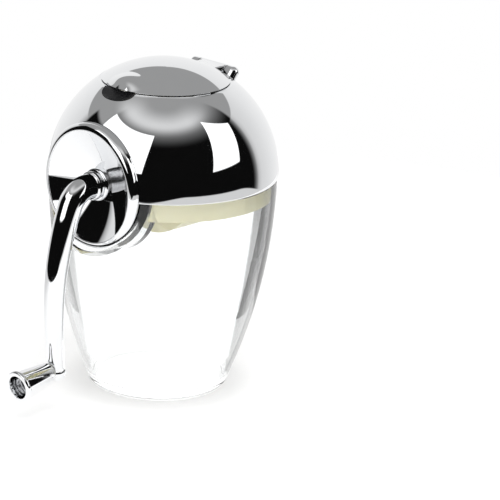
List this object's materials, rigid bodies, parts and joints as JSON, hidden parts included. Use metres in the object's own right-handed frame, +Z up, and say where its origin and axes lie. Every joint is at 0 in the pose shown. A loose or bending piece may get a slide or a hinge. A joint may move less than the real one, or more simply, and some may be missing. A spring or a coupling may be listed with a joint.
{
  "type": "hand cranked ice crusher",
  "caption": "Hand-cranked ice crusher: chrome dome with hinged lid, toothed rotor over combs, side crank with turning knob, clear lift-off container below.",
  "frame": {"origin": "centre of the container's round foot, on the table", "axes": "+Z up through the container's axis, -Y out along the crank's axis towards the handle, +X to the right of a person facing the crank"},
  "size_m": [0.15, 0.2022, 0.2185],
  "materials": {
    "clear_container": "clear thick injection-moulded plastic, polished",
    "chrome_dome": "mirror chrome plate",
    "chrome_dish": "mirror chrome plate",
    "chrome_lid": "mirror chrome plate",
    "chrome_crank": "mirror chrome plate over a casting",
    "chrome_knob": "mirror chrome plate over a casting",
    "ivory_plastic": "satin moulded plastic",
    "olive_plastic": "satin moulded plastic",
    "liner_plastic": "satin moulded plastic",
    "washer_plastic": "smooth low-friction plastic",
    "blade_steel": "ground stainless sheet",
    "comb_steel": "ground stainless bar",
    "shaft_steel": "turned stainless",
    "clip_steel": "spring steel",
    "screw_steel": "zinc-plated screws",
    "bush_steel": "turned bearing steel"
  },
  "bodies": {
    "container": {"container": "clear_container"},
    "head": {"dome_housing": "chrome_dome", "crank_dish": "chrome_dish", "dish_screws": "screw_steel", "hopper": "ivory_plastic", "hopper_screws": "screw_steel", "trough": "olive_plastic", "trough_screws": "screw_steel", "comb_left": "comb_steel", "comb_right": "comb_steel", "comb_screws": "screw_steel", "front_bush": "bush_steel", "rear_bush": "bush_steel", "hinge_pin": "shaft_steel"},
    "lid": {"lid_shell": "chrome_lid", "lid_liner": "liner_plastic", "lid_screws": "screw_steel"},
    "crank": {"rotor_shaft": "shaft_steel", "rotor_disc_1": "blade_steel", "rotor_disc_2": "blade_steel", "rotor_disc_3": "blade_steel", "rotor_disc_4": "blade_steel", "spacer_1": "shaft_steel", "spacer_2": "shaft_steel", "spacer_3": "shaft_steel", "spacer_4": "shaft_steel", "spacer_5": "shaft_steel", "thrust_washer": "bush_steel", "retaining_clip": "clip_steel", "crank_hub": "chrome_crank", "hub_screw": "screw_steel", "crank_arm": "chrome_crank", "knob_pin": "shaft_steel", "knob_washer": "washer_plastic"},
    "knob": {"knob_sleeve": "chrome_knob"}
  },
  "joints": [
    {"name": "head_lift", "type": "slide", "parent": "container", "child": "head", "axis": [0, 0, 1], "range_m": [0, 0.08]},
    {"name": "lid_hinge", "type": "hinge", "parent": "head", "child": "lid", "pos_m": [0, 0.0448, 0.2058], "axis": [-1, 0, 0], "range_deg": [0, 105]},
    {"name": "crank_turn", "type": "hinge", "parent": "head", "child": "crank", "pos_m": [0, -0.06, 0.1461], "axis": [0, -1, 0], "continuous": true},
    {"name": "knob_turn", "type": "hinge", "parent": "crank", "child": "knob", "pos_m": [0, -0.09269, 0.02896], "axis": [0, -0.9919, -0.1271], "continuous": true}
  ]
}
